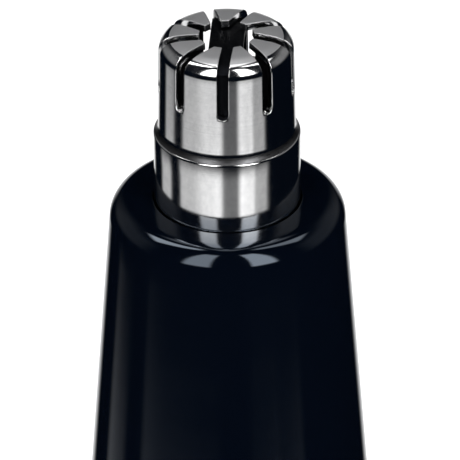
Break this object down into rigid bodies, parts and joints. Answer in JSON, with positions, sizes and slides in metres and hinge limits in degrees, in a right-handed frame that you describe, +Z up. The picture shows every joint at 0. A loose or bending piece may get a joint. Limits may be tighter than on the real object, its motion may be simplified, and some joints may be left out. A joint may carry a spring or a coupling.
{
  "type": "nose hair trimmer",
  "caption": "Slim battery nose hair trimmer: a slotted steel rotary cutter head on a tapering gloss-black body with a slide switch and a screw-off battery cap.",
  "frame": {"origin": "middle of the flat underside of the battery cap, which the trimmer stands on", "axes": "+Z up along the trimmer's axis towards the cutter head, -Y towards the side with the slide switch, +X to the right when that side is seen from the front"},
  "size_m": [0.024, 0.0244, 0.1332],
  "materials": {
    "guard_steel": "polished and satin stainless steel",
    "blade_steel": "ground tool steel",
    "plain_steel": "bright turned steel",
    "motor_steel": "zinc-plated drawn steel",
    "body_black": "piano-black moulded ABS",
    "matt_black": "fine-textured black ABS",
    "chassis_grey": "moulded ABS",
    "white_acetal": "moulded acetal",
    "seal_rubber": "nitrile rubber",
    "bronze": "sintered bronze",
    "contact_brass": "nickel-free brass sheet",
    "copper": "enamelled copper",
    "lamination": "silicon-steel laminations",
    "ferrite": "sintered ferrite",
    "carbon": "pressed carbon",
    "cell_sleeve": "plain printed-film sleeve over a battery can",
    "lead_insulation": "PVC insulation"
  },
  "bodies": {
    "housing": {"spindle_seal": "seal_rubber", "spindle_bush": "bronze", "main_housing": "body_black", "head_o_ring": "seal_rubber", "motor_can": "motor_steel", "motor_end_cap": "white_acetal", "motor_magnet_left": "ferrite", "motor_magnet_right": "ferrite", "motor_bearing_front": "bronze", "motor_bearing_rear": "bronze", "motor_brush_left": "carbon", "motor_brush_right": "carbon", "motor_terminal_left": "contact_brass", "motor_terminal_right": "contact_brass", "motor_screw_left": "plain_steel", "motor_screw_right": "plain_steel", "inner_chassis": "chassis_grey", "battery_positive_contact": "contact_brass", "negative_contact_strip": "contact_brass", "switch_fixed_contact": "contact_brass", "switch_lead": "lead_insulation"},
    "head": {"cutter_guard": "guard_steel", "head_base": "matt_black"},
    "rotor": {"inner_blade": "blade_steel", "blade_hub": "white_acetal", "blade_spring": "plain_steel", "drive_spindle": "plain_steel", "shaft_coupler": "white_acetal", "motor_shaft": "plain_steel", "armature_core": "lamination", "armature_winding_1": "copper", "armature_winding_2": "copper", "armature_winding_3": "copper", "commutator": "copper"},
    "switch": {"switch_button": "matt_black", "switch_carrier": "white_acetal", "switch_moving_contact": "contact_brass"},
    "battery": {"battery_cell": "cell_sleeve", "battery_spring": "plain_steel"},
    "cap": {"battery_cap": "body_black", "cap_o_ring": "seal_rubber", "cap_contact_cup": "contact_brass"}
  },
  "joints": [
    {"name": "rotor_spin", "type": "hinge", "parent": "housing", "child": "rotor", "pos_m": [0, 0, 0.1], "axis": [0, 0, 1], "continuous": true},
    {"name": "head_lift", "type": "slide", "parent": "housing", "child": "head", "axis": [0, 0, 1], "range_m": [0, 0.02]},
    {"name": "switch_slide", "type": "slide", "parent": "housing", "child": "switch", "axis": [0, 0, 1], "range_m": [0, 0.004]},
    {"name": "battery_slide", "type": "slide", "parent": "housing", "child": "battery", "axis": [0, 0, -1], "range_m": [0, 0.01]},
    {"name": "cap_turn", "type": "hinge", "parent": "battery", "child": "cap", "pos_m": [0, 0, 0.01], "axis": [0, 0, -1], "range_deg": [0, 300]}
  ],
  "couplings": [
    {"joint": "cap_turn", "follows": "battery_slide", "rad_per_m": 523.6}
  ]
}
